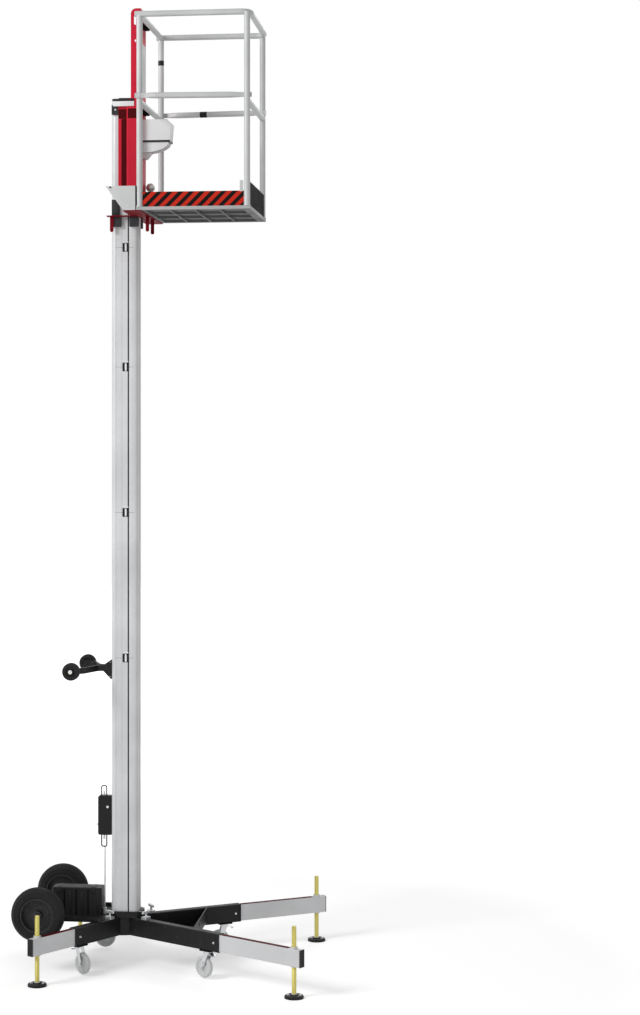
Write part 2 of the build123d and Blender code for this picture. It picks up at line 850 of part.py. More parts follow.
# Carriage channel: narrow over its whole height, with flanges beside the mast
web_line = web_face - carriage_sheet / 2
outer_line = channel_half - carriage_sheet / 2
inner_line = flange_half - carriage_sheet / 2
with BuildPart() as carriage_channel:
    with BuildSketch(Plane((mast_x, 0, deck_low))):
        with BuildLine():
            FilletPolyline(
                (upright_back, -outer_line),
                (web_line, -outer_line),
                (web_line, outer_line),
                (upright_back, outer_line),
                radius=channel_bend,
            )
        trace(line_width=carriage_sheet)
    extrude(amount=upright_high - deck_low)
    top_corners = carriage_channel.edges().filter_by(Axis.Y).group_by(Axis.Z)[-1].group_by(Axis.X)[0]
    fillet(top_corners, upright_corner)
    with BuildSketch(Plane((mast_x, 0, wide_low))):
        with BuildLine():
            FilletPolyline(
                (flange_back, -inner_line),
                (channel_step, -inner_line),
                (channel_step, -outer_line),
                (web_line, -outer_line),
                (web_line, outer_line),
                (channel_step, outer_line),
                (channel_step, inner_line),
                (flange_back, inner_line),
                radius=channel_bend,
            )
        trace(line_width=carriage_sheet)
    extrude(amount=wide_high - wide_low)
    with BuildSketch(upright(mast_x, 0, 0)):
        with Locations((hole_x, upright_high - window_drop)):
            SlotOverall(window_length, window_width, rotation=quarter_turn)
        with Locations((hole_x, upright_high - pin_hole_drop)):
            Circle(pin_hole_radius)
    extrude(amount=channel_half, both=True, mode=Mode.SUBTRACT)
    with BuildSketch(facing(mast_x + web_face - carriage_sheet, 0, upright_high - lug_hole_drop, 0)):
        Circle(lug_hole_radius)
    extrude(amount=carriage_sheet, mode=Mode.SUBTRACT)
save(carriage_channel, "carriage_channel")

# Guide shoes between the carriage and the mast
foot_low = deck_low - foot_sheet
relief = flange_half - carriage_sheet
shoe_in = mast_half + guide_gap
shoe_web = web_face - carriage_sheet
with BuildPart() as guide_shoes:
    for low in (front_shoe_low, upper_shoe_low):
        with BuildSketch(Plane((mast_x + (mast_face + guide_gap + shoe_web) / 2, 0, low))):
            Rectangle(shoe_web - mast_face - guide_gap, 2 * front_shoe_half)
        extrude(amount=shoe_height)
    with BuildSketch(Plane((mast_x, 0, upper_shoe_low))):
        for side in (-1, 1):
            with Locations(((shoe_back + shoe_front) / 2, side * (shoe_in + relief) / 2)):
                Rectangle(shoe_front - shoe_back, relief - shoe_in)
            with Locations(((shoe_back + flange_back) / 2, side * (shoe_in + flange_half) / 2)):
                Rectangle(flange_back - shoe_back, flange_half - shoe_in)
    extrude(amount=shoe_height)
    foot_shoe_y = (shoe_in + foot_shoe_side) / 2
    with BuildSketch(Plane((mast_x, 0, foot_low - shoe_height))):
        with Locations(*[(x, side * foot_shoe_y) for x in foot_shoe_places for side in (-1, 1)]):
            Rectangle(foot_shoe_depth, foot_shoe_side - shoe_in)
    extrude(amount=shoe_height)
save(guide_shoes, "guide_shoes")

# Foot plate with its two rear arms and hanging fingers
with BuildPart() as carriage_foot:
    with BuildSketch(Plane((mast_x, 0, foot_low))):
        with Locations(((foot_wing_back + foot_wing_front) / 2, 0)):
            Rectangle(foot_wing_front - foot_wing_back, 2 * deck_half)
        with Locations(((foot_back + foot_wing_back) / 2, 0)):
            Rectangle(foot_wing_back - foot_back, 2 * foot_arm_half)
        with Locations(((foot_back + foot_notch) / 2, 0)):
            Rectangle(foot_notch - foot_back, 2 * relief, mode=Mode.SUBTRACT)
    extrude(amount=foot_sheet)
    finger_straight = finger_length - finger_width / 2
    for side in (-1, 1):
        with BuildSketch(upright(mast_x, side * finger_half, foot_low)):
            with Locations(*[(x, -finger_straight / 2) for x in (rear_finger_x, front_finger_x)]):
                Rectangle(finger_width, finger_straight)
            with Locations(*[(x, -finger_straight) for x in (rear_finger_x, front_finger_x)]):
                Circle(finger_width / 2)
        extrude(amount=finger_sheet / 2, both=True)
save(carriage_foot, "carriage_foot")

# Deck, a pan with ribs below and a raised tread between the toe boards
board_back = post_back + tube_radius + end_gap
board_front = post_front - tube_radius - end_gap
deck_length = deck_front - deck_back
pocket_length = (deck_length - 2 * deck_rim + deck_rib) / deck_pockets[0] - deck_rib
pocket_width = (2 * (deck_half - deck_rim) + deck_rib) / deck_pockets[1] - deck_rib
with BuildPart() as platform_deck:
    with BuildSketch(Plane((mast_x + (deck_back + deck_front) / 2, 0, deck_low))):
        Rectangle(deck_length, 2 * deck_half)
    extrude(amount=deck_height)
    with BuildSketch(Plane((mast_x + (deck_back + deck_front) / 2, 0, deck_low))):
        with GridLocations(pocket_length + deck_rib, pocket_width + deck_rib, *deck_pockets):
            Rectangle(pocket_length, pocket_width)
    extrude(amount=deck_height - deck_sheet, mode=Mode.SUBTRACT)
    with BuildSketch(Plane((mast_x + (board_back + board_front) / 2, 0, deck_top))):
        Rectangle(board_front - board_back, 2 * tread_half)
    extrude(amount=tread_height)
save(platform_deck, "platform_deck")

# Toe boards: striped ones along the sides, plain ones across the ends
with BuildPart() as side_toe_boards:
    for side in (-1, 1):
        with BuildSketch(upright(mast_x, side * post_half, deck_top)):
            with Locations(((board_back + board_front) / 2, side_board_height / 2)):
                Rectangle(board_front - board_back, side_board_height)
        extrude(amount=board_sheet / 2, both=True)
save(side_toe_boards, "side_toe_boards")

with BuildPart() as end_toe_boards:
    for x, low, half in (
        (deck_front - front_board_inset, deck_top, front_board_half),
        (deck_back - board_sheet, deck_low, deck_half),
    ):
        with BuildSketch(facing(mast_x + x, 0, low + end_board_height / 2, 0)):
            Rectangle(2 * half, end_board_height)
        extrude(amount=board_sheet)
save(end_toe_boards, "end_toe_boards")

# Gusset plates that run back from the toe board at the mast
with BuildPart() as platform_gussets:
    for side in (-1, 1):
        with BuildSketch(upright(mast_x, side * deck_half, 0)):
            Polygon(
                (deck_back - board_sheet, deck_low),
                (gusset_foot, deck_low),
                (gusset_back, deck_low + end_board_height),
                (deck_back - board_sheet, deck_low + end_board_height),
                align=None,
            )
        extrude(amount=side * gusset_sheet)
save(platform_gussets, "platform_gussets")

# Corner posts, coped to the top rails
rail_z = deck_low + rail_height
rail_paths = []
for side in (-1, 1):
    with BuildLine(Plane((mast_x, 0, rail_z))) as rail_path:
        straight = Line((rail_tail, side * post_half), (rail_front - rail_bend, side * post_half))
        JernArc(start=straight @ 1, tangent=(1, 0), radius=rail_bend, arc_size=-side * quarter_turn)
    rail_paths.append((rail_path.wire(), facing(mast_x + rail_tail, side * post_half, rail_z, 0)))
post_places = [(x, side * post_half) for x in (post_back, post_front) for side in (-1, 1)]
with BuildPart() as basket_posts:
    with BuildSketch(Plane((mast_x, 0, deck_top))):
        with Locations(*post_places):
            Circle(tube_radius)
            Circle(tube_radius - tube_wall, mode=Mode.SUBTRACT)
    extrude(amount=rail_z - deck_top)
    with BuildSketch(upright(mast_x + post_back, 0, rail_z)):
        Circle(tube_radius)
    extrude(amount=post_half, both=True, mode=Mode.SUBTRACT)
    for path, start in rail_paths:
        with BuildSketch(start):
            Circle(tube_radius)
        sweep(path=path, mode=Mode.SUBTRACT)
save(basket_posts, "basket_posts")

# Top rails: bent tubes along the sides, straight tubes across
with BuildPart() as top_rail_sides:
    for path, start in rail_paths:
        with BuildSketch(start):
            Circle(tube_radius)
            Circle(tube_radius - tube_wall, mode=Mode.SUBTRACT)
        sweep(path=path)
save(top_rail_sides, "top_rail_sides")

with BuildPart() as top_rail_ends:
    for x, half in ((rail_front, post_half - rail_bend), (post_back, post_half)):
        with BuildSketch(upright(mast_x + x, 0, rail_z)):
            Circle(tube_radius)
            Circle(tube_radius - tube_wall, mode=Mode.SUBTRACT)
        extrude(amount=half, both=True)
    with BuildSketch(facing(mast_x, 0, rail_z, 0)):
        with Locations((-post_half, 0), (post_half, 0)):
            Circle(tube_radius)
    extrude(amount=post_back + 2 * tube_radius, mode=Mode.SUBTRACT)
save(top_rail_ends, "top_rail_ends")

# Side mid rails: tubes pressed flat at both ends, outside the posts at the mast and inside in front
mid_z = deck_low + mid_height
mid_outer = post_half + tube_radius + mid_clear + mid_flat / 2
mid_inner = post_half - tube_radius - mid_clear - mid_flat / 2
mid_run = mid_end - mid_start
mid_turn = degrees(atan2(mid_outer - mid_inner, post_front - post_back))
mid_slope = tan(radians(mid_turn))
flat_corner = mid_flat / 2 - 0.1
tube_corner = tube_radius - 0.1
with BuildPart() as side_mid_rails:
    for side in (-1, 1):
        rail_y = side * (mid_outer + (post_back - mid_start) * mid_slope)
        rail_plane = facing(mast_x + mid_start, rail_y, mid_z, -side * mid_turn)
        for start, length in ((0, mid_flat_length), (mid_run - mid_flat_length, mid_flat_length)):
            with BuildSketch(rail_plane.offset(start)):
                RectangleRounded(mid_flat, mid_flat_height, flat_corner)
            extrude(amount=length)
        for neck, tube in (
            (mid_flat_length, mid_flat_length + mid_taper),
            (mid_run - mid_flat_length, mid_run - mid_flat_length - mid_taper),
        ):
            with BuildSketch(rail_plane.offset(neck)):
                RectangleRounded(mid_flat, mid_flat_height, flat_corner)
            with BuildSketch(rail_plane.offset(tube)):
                RectangleRounded(2 * tube_radius, 2 * tube_radius, tube_corner)
            loft()
        with BuildSketch(rail_plane.offset(mid_flat_length + mid_taper)):
            RectangleRounded(2 * tube_radius, 2 * tube_radius, tube_corner)
        extrude(amount=mid_run - 2 * mid_flat_length - 2 * mid_taper)
save(side_mid_rails, "side_mid_rails")

# Mid rails across the ends, coped to the posts
with BuildPart() as cross_mid_rails:
    for x in (post_back, post_front):
        with BuildSketch(upright(mast_x + x, 0, mid_z - mid_drop)):
            Circle(tube_radius)
            Circle(tube_radius - tube_wall, mode=Mode.SUBTRACT)
        extrude(amount=post_half, both=True)
    with BuildSketch(Plane((mast_x, 0, mid_z - mid_drop - 2 * tube_radius))):
        with Locations(*post_places):
            Circle(tube_radius)
    extrude(amount=4 * tube_radius, mode=Mode.SUBTRACT)
save(cross_mid_rails, "cross_mid_rails")

# Saddles that hold the rails at the mast to the carriage's web
with BuildPart() as rail_clamps:
    for height in (rail_z, mid_z - mid_drop):
        with BuildSketch(upright(mast_x, 0, height)):
            with Locations(((web_face + rail_clamp_front) / 2, 0)):
                RectangleRounded(rail_clamp_front - web_face, rail_clamp_height, rail_clamp_corner)
            with Locations((post_back, 0)):
                Circle(tube_radius, mode=Mode.SUBTRACT)
        extrude(amount=rail_clamp_half, both=True)
save(rail_clamps, "rail_clamps")

# Control box on the carriage's web, with a rounded belly and a neck below it
with BuildPart() as control_box:
    with BuildSketch(upright(mast_x, 0, 0)):
        Polygon(
            (web_face, box_low),
            (box_front_low, box_low),
            (box_front, box_high - box_shoulder_drop),
            (box_front - box_bevel, box_high),
            (web_face, box_high),
            align=None,
        )
    extrude(amount=box_half, both=True)
    fillet(control_box.edges().filter_by(Axis.X).group_by(Axis.Z)[-1], box_corner)
    with BuildSketch(upright(mast_x, 0, 0)):
        with BuildLine():
            Polyline(
                (belly_back, belly_low), (web_face, belly_low), (web_face, box_low), (belly_front, box_low)
            )
            EllipticalCenterArc(
                (belly_back, box_low),
                belly_front - belly_back,
                box_low - belly_low,
                start_angle=3 * quarter_turn,
                arc_size=quarter_turn,
            )
        make_face()
    extrude(amount=box_half - box_corner, both=True)
    with BuildSketch(upright(mast_x, 0, 0)):
        Polygon(
            (web_face, belly_low - neck_drop),
            (neck_tip, belly_low - neck_drop),
            (neck_front, belly_low),
            (web_face, belly_low),
            align=None,
        )
    extrude(amount=neck_half, both=True)
save(control_box, "control_box")

with BuildPart() as toe_knob:
    with BuildSketch(Plane((mast_x + deck_back - board_sheet / 2, knob_y, deck_low + end_board_height))):
        Circle(knob_stem_radius)
    extrude(amount=knob_height - deck_low - end_board_height)
    with Locations((mast_x + knob_x, knob_y, knob_height)):
        Sphere(knob_radius)
save(toe_knob, "toe_knob")
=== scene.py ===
"""Looks of the vertical mast lift: materials, the small parts that the solids leave out, and
the view. Metres, in the row frame: +X from the mast to the platform, +Z up."""

import json
from math import cos, pi, radians, sin

import bmesh
import bpy
from mathutils import Matrix, Vector


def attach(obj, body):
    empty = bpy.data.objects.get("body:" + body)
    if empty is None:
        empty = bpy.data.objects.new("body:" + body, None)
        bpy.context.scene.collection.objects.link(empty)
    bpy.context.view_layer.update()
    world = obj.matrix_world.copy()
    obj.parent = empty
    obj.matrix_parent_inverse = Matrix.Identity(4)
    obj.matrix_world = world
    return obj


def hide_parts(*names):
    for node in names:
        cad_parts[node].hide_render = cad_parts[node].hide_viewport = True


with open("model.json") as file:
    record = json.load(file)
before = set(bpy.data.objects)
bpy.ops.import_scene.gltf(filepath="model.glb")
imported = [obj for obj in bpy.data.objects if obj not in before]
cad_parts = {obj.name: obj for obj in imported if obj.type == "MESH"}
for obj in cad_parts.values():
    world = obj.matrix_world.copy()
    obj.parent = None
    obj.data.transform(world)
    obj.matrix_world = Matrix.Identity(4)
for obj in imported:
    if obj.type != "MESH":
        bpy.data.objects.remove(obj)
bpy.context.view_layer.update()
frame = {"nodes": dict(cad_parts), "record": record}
scene = bpy.context.scene
nodes = frame["nodes"]

# Places that the solids share
mast_x = -0.2508337
cross_x = mast_x - 0.012
arm_bottom = 0.168
arm_middle = 0.22
tube_top = 0.2675
nut_low = 0.1695
nut_high = 0.2775
legs = (
    # name, heading, arm's end, caster, jack, caster's trail
    ("front_near", -32.2, 0.733, 0.635, 1.247, 145.0),
    ("front_far", 32.2, 0.733, 0.635, 1.247, -160.0),
    ("rear_near", -122.7, 0.428, 0.371, 0.706, -40.0),
    ("rear_far", 122.7, 0.428, 0.371, 0.706, 20.0),
)
sides = (("near", -1), ("far", 1))
mast_foot = 0.306
mast_joints = (1.766, 2.604, 3.442, 4.131)
mast_cap_top = 4.987
deck_top = 4.329
tread_top = 4.331
board_top = 4.465
rail_z = 5.411
mid_z = 4.951
rail_y = 0.37
rear_post_x = 0.142
front_post_x = 0.75
wheel_x = -0.445
wheel_z = 0.338
roller_x = -0.275
roller_z = 1.703
UP = Vector((0, 0, 1))
FORWARD = Vector((1, 0, 0))
FAR = Vector((0, 1, 0))


def radial(heading):
    """The level direction of a leg."""
    a = radians(heading)
    return Vector((cos(a), sin(a), 0))


def on_leg(heading, reach, across, z):
    """A point beside a leg's middle line."""
    out = radial(heading)
    return Vector((cross_x, 0, z)) + out * reach + UP.cross(out) * across


def mast_point(x, y, z):
    """A point measured from the mast's middle."""
    return Vector((mast_x + x, y, z))


# Materials, all of them made from noise over the object's own coordinates
usual_grain = 300.0
usual_wear = 0.62
most_worn = 0.6


def new_material(name):
    made = bpy.data.materials.new(name)
    made.use_nodes = True
    tree = made.node_tree
    shader = tree.nodes["Principled BSDF"]
    place = tree.nodes.new("ShaderNodeTexCoord")
    return made, tree, shader, place.outputs["Object"]


def noise(tree, place, scale, detail, stretch=(1, 1, 1)):
    mapping = tree.nodes.new("ShaderNodeMapping")
    mapping.inputs["Scale"].default_value = stretch
    tree.links.new(place, mapping.inputs["Vector"])
    texture = tree.nodes.new("ShaderNodeTexNoise")
    texture.inputs["Scale"].default_value = scale
    texture.inputs["Detail"].default_value = detail
    tree.links.new(mapping.outputs["Vector"], texture.inputs["Vector"])
    return texture.outputs["Fac"]


def ramp(tree, value, low, high, first, last):
    made = tree.nodes.new("ShaderNodeMapRange")
    made.inputs["From Min"].default_value = low
    made.inputs["From Max"].default_value = high
    made.inputs["To Min"].default_value = first
    made.inputs["To Max"].default_value = last
    tree.links.new(value, made.inputs["Value"])
    return made.outputs["Result"]


def sum_of(tree, operation, *values):
    """One step of arithmetic on sockets and plain numbers."""
    made = tree.nodes.new("ShaderNodeMath")
    made.operation = operation
    for socket, value in zip(made.inputs, values):
        if isinstance(value, float):
            socket.default_value = value
        else:
            tree.links.new(value, socket)
    return made.outputs["Value"]


def mix(tree, factor, first, last):
    made = tree.nodes.new("ShaderNodeMix")
    made.data_type = "RGBA"
    tree.links.new(factor, made.inputs["Factor"])
    for socket, colour in ((made.inputs[6], first), (made.inputs[7], last)):
        if isinstance(colour, tuple):
            socket.default_value = (*colour, 1)
        else:
            tree.links.new(colour, socket)
    return made.outputs[2]


def rough_and_bump(tree, shader, place, rough, grain, depth, stretch=(1, 1, 1)):
    """Slow patches of gloss, and a fine grain in the surface."""
    low, high = rough
    patches = noise(tree, place, 9.0, 4.0)
    tree.links.new(ramp(tree, patches, 0.3, 0.7, low, high), shader.inputs["Roughness"])
    bump = tree.nodes.new("ShaderNodeBump")
    bump.inputs["Strength"].default_value = depth
    bump.inputs["Distance"].default_value = 0.001
    tree.links.new(noise(tree, place, grain, 3.0, stretch), bump.inputs["Height"])
    tree.links.new(bump.outputs["Normal"], shader.inputs["Normal"])


def worn_tone(tree, place, colour, worn, wear=usual_wear):
    """Slow patches of tone, with a worn colour in small spots."""
    darker = tuple(0.86 * c for c in colour)
    tone = mix(tree, ramp(tree, noise(tree, place, 3.0, 3.0), 0.35, 0.65, 0, 1), darker, colour)
    spots = ramp(tree, noise(tree, place, 42.0, 6.0), wear, wear + 0.12, 0, most_worn)
    return mix(tree, spots, tone, worn)


def finish_of(
    name, colour, worn, metallic, rough, grain=usual_grain, depth=0.15, wear=usual_wear, shine=0.5
):
    """A finish with uneven tone, wear, gloss and grain."""
    made, tree, shader, place = new_material(name)
    tree.links.new(worn_tone(tree, place, colour, worn, wear), shader.inputs["Base Color"])
    shader.inputs["Metallic"].default_value = metallic
    shader.inputs["Specular IOR Level"].default_value = shine
    rough_and_bump(tree, shader, place, rough, grain, depth)
    return made


dull = {"shine": 0.2}
moulded = {"shine": 0.2, "depth": 0.3}
rubbery = {"shine": 0.2, "depth": 0.4}
brushed = {"shine": 0.2, "grain": 400.0}
plated = {"grain": 500.0}
red_paint = {"shine": 0.06, "wear": 0.66}
looks = {
    # colour, worn colour, how metallic, roughness from and to, and what else differs
    name: finish_of(name, colour, worn, metallic, rough, **more)
    for name, colour, worn, metallic, rough, more in (
        ("black_steel", (0.009, 0.009, 0.01), (0.04, 0.04, 0.04), 0.0, (0.36, 0.52), dull),
        ("red_steel", (0.67, 0.022, 0.05), (0.3, 0.012, 0.025), 0.0, (0.4, 0.54), red_paint),
        # Red steel painted darker, standing in for the shade on the carriage's foot plate.
        ("red_painted_shade", (0.2, 0.006, 0.014), (0.1, 0.005, 0.008), 0.0, (0.45, 0.6), {"shine": 0.03}),
        ("rail_aluminium", (0.66, 0.67, 0.67), (0.55, 0.56, 0.56), 0.1, (0.4, 0.54), brushed),
        ("zinc_yellow", (0.7, 0.62, 0.18), (0.5, 0.44, 0.15), 0.5, (0.3, 0.48), plated),
        ("zinc_steel", (0.7, 0.71, 0.72), (0.45, 0.45, 0.45), 0.7, (0.25, 0.42), plated),
        ("caster_chrome", (0.66, 0.67, 0.69), (0.36, 0.36, 0.36), 0.95, (0.14, 0.3), {"grain": 400.0}),
        ("caster_grey", (0.72, 0.73, 0.73), (0.5, 0.5, 0.49), 0.0, (0.45, 0.65), {"grain": 350.0}),
        ("pad_plastic", (0.014, 0.014, 0.015), (0.05, 0.05, 0.05), 0.0, (0.5, 0.68), moulded),
        ("box_plastic", (0.012, 0.012, 0.013), (0.035, 0.035, 0.035), 0.0, (0.42, 0.6), moulded),
        ("tyre_rubber", (0.012, 0.012, 0.012), (0.04, 0.038, 0.036), 0.0, (0.62, 0.82), rubbery),
        ("roller_rubber", (0.016, 0.016, 0.017), (0.04, 0.04, 0.038), 0.0, (0.55, 0.75), rubbery),
        ("slider_plastic", (0.03, 0.03, 0.033), (0.07, 0.07, 0.07), 0.0, (0.45, 0.6), dull),
        ("control_grey", (0.9, 0.9, 0.91), (0.78, 0.78, 0.78), 0.0, (0.4, 0.55), {"shine": 0.3}),
        ("board_black", (0.013, 0.012, 0.013), (0.03, 0.03, 0.03), 0.0, (0.6, 0.72), {"shine": 0.01}),
        ("plate_white", (0.86, 0.86, 0.86), (0.74, 0.74, 0.74), 0.0, (0.35, 0.5), {}),
        ("plate_grey", (0.55, 0.55, 0.56), (0.45, 0.45, 0.45), 0.0, (0.4, 0.55), dull),
        ("plate_dark", (0.02, 0.02, 0.022), (0.06, 0.06, 0.06), 0.0, (0.4, 0.55), dull),
        # Maroon: the real colour of the strips along the outriggers, and painted shade in the carriage's
        # flange recesses.
        ("maroon_strip_and_painted_shade", (0.075, 0.003, 0.004), (0.05, 0.003, 0.004), 0.0, (0.45, 0.6), {"shine": 0.05}),
        ("nut_light", (0.8, 0.79, 0.75), (0.55, 0.55, 0.5), 0.3, (0.3, 0.45), {}),
        ("rim_dark", (0.035, 0.035, 0.037), (0.08, 0.08, 0.08), 0.2, (0.4, 0.55), dull),
    )
}


def axes_of(tree, place):
    """The three coordinates of a place, apart."""
    split = tree.nodes.new("ShaderNodeSeparateXYZ")
    tree.links.new(place, split.inputs["Vector"])
    return split.outputs["X"], split.outputs["Y"], split.outputs["Z"]


def within(tree, value, middle, reach):
    """One where a value lies within a reach of a middle, and nothing elsewhere."""
    return sum_of(tree, "COMPARE", value, middle, reach)


def striped(name, first, last, period, share):
    """Slanted bands over a board that faces sideways."""
    made, tree, shader, place = new_material(name)
    x, _, z = axes_of(tree, place)
    part = sum_of(tree, "FRACT", sum_of(tree, "DIVIDE", sum_of(tree, "SUBTRACT", x, z), period))
    edge = ramp(tree, part, share - 0.02, share + 0.02, 0, 1)
    patches = ramp(tree, noise(tree, place, 30.0, 5.0), 0.6, 0.75, 0, 0.5)
    bright = mix(tree, patches, first, tuple(0.6 * c for c in first))
    tree.links.new(mix(tree, edge, bright, last), shader.inputs["Base Color"])
    shader.inputs["Specular IOR Level"].default_value = 0.05
    rough_and_bump(tree, shader, place, (0.4, 0.55), usual_grain, 0.1)
    return made


def deck_with_painted_shade_below(name, top, painted_under_shade):
    """Light on top and round its edge; below, inside the edge, a darker colour is painted on as shade."""
    made, tree, shader, place = new_material(name)
    x, y, z = axes_of(tree, place)
    inside_x = within(tree, x, mast_x + 0.4465, 0.321)
    inside_y = within(tree, y, 0.0, 0.3845)
    below = sum_of(tree, "LESS_THAN", z, deck_top - 0.0005)
    painted_shade_mask = sum_of(tree, "MULTIPLY", sum_of(tree, "MULTIPLY", inside_x, inside_y), below)
    light = worn_tone(tree, place, top, tuple(0.7 * c for c in top))
    tree.links.new(mix(tree, painted_shade_mask, light, painted_under_shade), shader.inputs["Base Color"])
    shader.inputs["Specular IOR Level"].default_value = 0.1
    rough_and_bump(tree, shader, place, (0.5, 0.7), 120.0, 0.15)
    return made


def mast_with_painted_groove_shade(name, pale, inside):
    """Drawn metal, with shade painted on as a dark colour inside its side grooves."""
    made, tree, shader, place = new_material(name)
    x, y, _ = axes_of(tree, place)
    drawn = worn_tone(tree, place, pale, tuple(0.84 * c for c in pale))
    in_slot = within(tree, x, mast_x + 0.022, 0.0042)
    below_skin = within(tree, y, 0.0, 0.0575)
    groove_shade_mask = sum_of(tree, "MULTIPLY", in_slot, below_skin)
    # The shade inside the grooves is painted into the colour here.
    tree.links.new(mix(tree, groove_shade_mask, drawn, inside), shader.inputs["Base Color"])
    shader.inputs["Metallic"].default_value = 0.15
    rough_and_bump(tree, shader, place, (0.42, 0.56), 90.0, 0.1, (40, 40, 0.4))
    return made


looks["stripe_paint"] = striped("stripe_paint", (0.62, 0.03, 0.015), (0.009, 0.008, 0.008), 0.061, 0.5)
# The deck's darker colour below, inside its edge, is painted shade.
looks["deck_aluminium"] = deck_with_painted_shade_below("deck_aluminium", (0.5, 0.51, 0.51), (0.16, 0.16, 0.162))
# The near-black colour inside the mast's grooves is painted shade.
looks["mast_aluminium"] = mast_with_painted_groove_shade("mast_aluminium", (0.7, 0.705, 0.715), (0.05, 0.05, 0.053))

# Every solid takes the look of its slot, or its own from this table
slot_of = {row["node"]: row["material_slot"] for row in frame["record"]["subparts"]}
own_looks = {
    "transport_rim_near": "rim_dark",
    "transport_rim_far": "rim_dark",
    "wheel_axle": "rim_dark",
    # The foot plate takes the darker red as painted shade.
    "carriage_foot": "red_painted_shade",
    "toe_knob": "nut_light",
}
for name, solid in nodes.items():
    solid.data.materials.clear()
    solid.data.materials.append(looks[own_looks.get(name, slot_of[name])])


# Meshes are built with bmesh operators, each in its place in the row frame
def turn_to(direction):
    return direction.to_track_quat("Z", "Y").to_matrix().to_4x4()


def add_rod(bm, start, end, radius, segments=24, tip=None):
    """A closed round bar between two points, or a cone if its tip is given."""
    run = end - start
    bmesh.ops.create_cone(
        bm,
        cap_ends=True,
        segments=segments,
        radius1=radius,
        radius2=radius if tip is None else tip,
        depth=run.length,
        matrix=Matrix.Translation((start + end) / 2) @ turn_to(run.normalized()),
    )


def add_box(bm, middle, size, along=FORWARD, bevel=0.0, segments=2):
    """A box, its length along a level direction, with rounded edges where a bevel is given."""
    across = UP.cross(along).normalized()
    frame_of = Matrix((along.normalized(), across, UP)).transposed().to_4x4()
    grown = bmesh.ops.create_cube(
        bm, size=1.0, matrix=Matrix.Translation(middle) @ frame_of @ Matrix.Diagonal((*size, 1))
    )
    if bevel:
        edges = list({edge for vert in grown["verts"] for edge in vert.link_edges})
        bmesh.ops.bevel(
            bm,
            geom=edges,
            offset=bevel,
            offset_type="OFFSET",
            segments=segments,
            profile=0.5,
            affect="EDGES",
            material=-1,
        )


def add_bolt(bm, place, out, size, sink=0.0005):
    """A washer and a six-sided head that stand out from a face."""
    out = out.normalized()
    add_rod(bm, place - out * sink, place + out * size * 0.18, size * 1.25, 20)
    add_rod(bm, place + out * size * 0.18, place + out * size * 0.75, size, 6)
    add_rod(bm, place + out * size * 0.75, place + out * size * 0.9, size * 0.98, 6, size * 0.8)


def add_ring(bm, middle, axis, profile, segments=48):
    """A ring turned from (radius, offset) points round an axis, its outline closed."""
    turned = turn_to(axis.normalized())
    verts = []
    for radius, offset in profile:
        made = bmesh.ops.create_vert(bm, co=middle + turned @ Vector((radius, 0, offset)))
        verts.extend(made["vert"])
    edges = []
    for first, last in zip(verts, verts[1:] + verts[:1]):
        edges.append(bm.edges.new((first, last)))
    bmesh.ops.spin(
        bm,
        geom=verts + edges,
        cent=middle,
        axis=turned @ UP,
        dvec=(0, 0, 0),
        angle=2 * pi,
        steps=segments,
        use_merge=True,
    )


def add_band(bm, middle, axis, inner, outer, low, high, segments=32):
    """A plain ring with square edges."""
    add_ring(bm, middle, axis, ((inner, low), (outer, low), (outer, high), (inner, high)), segments)


def add_rib(bm, middle, axis, inner, outer, offset, foot, crown):
    """A raised line round a wheel, wider at its foot than at its crown."""
    outline = (
        (inner, offset - foot),
        (outer, offset - crown),
        (outer, offset + crown),
        (inner, offset + foot),
    )
    add_ring(bm, middle, axis, outline)


def keep(bm, name, body, look, *replaced, slot=None):
    """Turns a mesh into a piece of the model that rides on a body."""
    bmesh.ops.remove_doubles(bm, verts=bm.verts, dist=0.000005)
    bmesh.ops.recalc_face_normals(bm, faces=bm.faces)
    for face in bm.faces:
        face.smooth = True
    for edge in bm.edges:
        if len(edge.link_faces) == 2 and edge.calc_face_angle() > 0.6:
            edge.smooth = False
    mesh = bpy.data.meshes.new(name)
    bm.to_mesh(mesh)
    bm.free()
    mesh.materials.append(looks[look])
    made = bpy.data.objects.new(name, mesh)
    scene.collection.objects.link(made)
    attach(made, body)
    if replaced:
        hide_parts(*replaced)


# Threaded screws, their collars, and the pads' bolts
thread_pitch = 0.006
thread_low = 0.026
thread_turns = 58
thread_steps = 16
thread_outline = ((0.0118, 0), (0.0134, 0.0022), (0.0134, 0.0032), (0.0118, 0.0054))
screw_top = 0.39
screw_shoulder = screw_top - 0.004
screw_core = 0.0122
pad_hub_top = 0.02
for name, heading, arm_reach, caster_reach, jack_reach, trail in legs:
    foot = on_leg(heading, jack_reach, 0, 0)
    bm = bmesh.new()
    add_rod(bm, foot + UP * pad_hub_top, foot + UP * screw_shoulder, screw_core)
    add_rod(bm, foot + UP * screw_shoulder, foot + UP * screw_top, screw_core, tip=0.0098)
    outline = []
    for radius, height in thread_outline:
        made = bmesh.ops.create_vert(bm, co=foot + Vector((radius, 0, thread_low + height)))
        outline.extend(made["vert"])
    for first, last in zip(outline, outline[1:] + outline[:1]):
        bm.edges.new((first, last))
    cap = bm.faces.new(outline)
    bmesh.ops.spin(
        bm,
        geom=[cap],
        cent=foot,
        axis=UP,
        dvec=(0, 0, thread_pitch / thread_steps),
        angle=2 * pi * thread_turns,
        steps=thread_steps * thread_turns,
        use_duplicate=False,
    )
    keep(bm, f"thread_{name}", f"jack_{name}", "zinc_yellow", f"jack_screw_{name}")

    bm = bmesh.new()
    for shift in (-0.033, 0.033):
        add_bolt(bm, foot + Vector((shift, 0, 0.0155)), UP, 0.0075)
    add_rod(bm, foot + UP * (pad_hub_top - 0.0005), foot + UP * (pad_hub_top + 0.004), 0.0165, 24)
    keep(bm, f"pad_bolts_{name}", f"jack_{name}", "zinc_steel")

